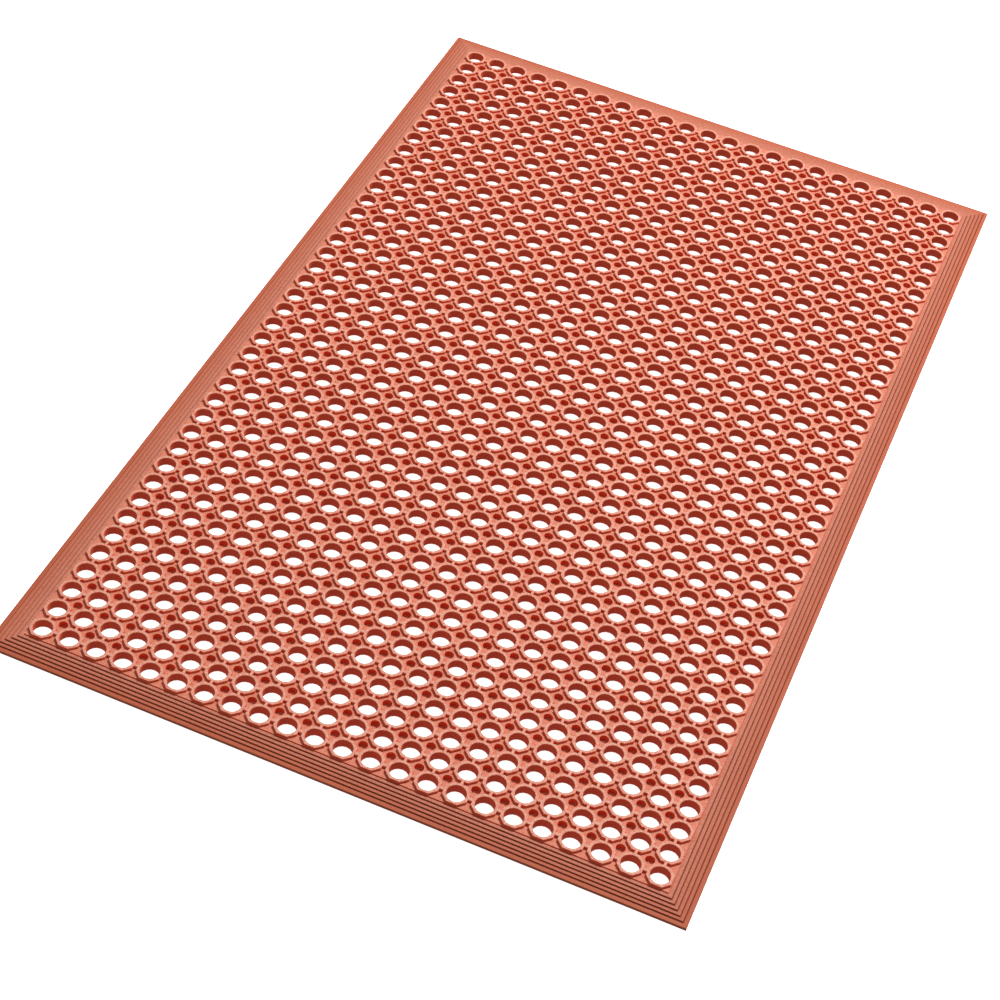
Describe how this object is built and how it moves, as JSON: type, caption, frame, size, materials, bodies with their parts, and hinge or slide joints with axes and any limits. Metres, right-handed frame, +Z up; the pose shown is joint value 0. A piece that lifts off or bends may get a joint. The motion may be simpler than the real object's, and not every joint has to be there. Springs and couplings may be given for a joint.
{
  "type": "anti fatigue mat",
  "caption": "Flat rubber drainage mat for standing on, with a grid of round through holes and a stepped border that falls to a low lip.",
  "frame": {"origin": "centre of the underside, on the floor", "axes": "+Z up, +Y along the long side towards the rear edge, +X across the short side to the right"},
  "size_m": [0.9144, 1.524, 0.0127],
  "materials": {
    "deck_rubber": "terracotta moulded rubber, semi-matt",
    "border_rubber": "terracotta moulded rubber, semi-matt"
  },
  "bodies": {
    "root": {"deck_front": "deck_rubber", "deck_middle_front": "deck_rubber", "deck_middle_rear": "deck_rubber", "deck_rear": "deck_rubber", "border_front": "border_rubber", "border_right": "border_rubber", "border_rear": "border_rubber", "border_left": "border_rubber"}
  },
  "joints": []
}
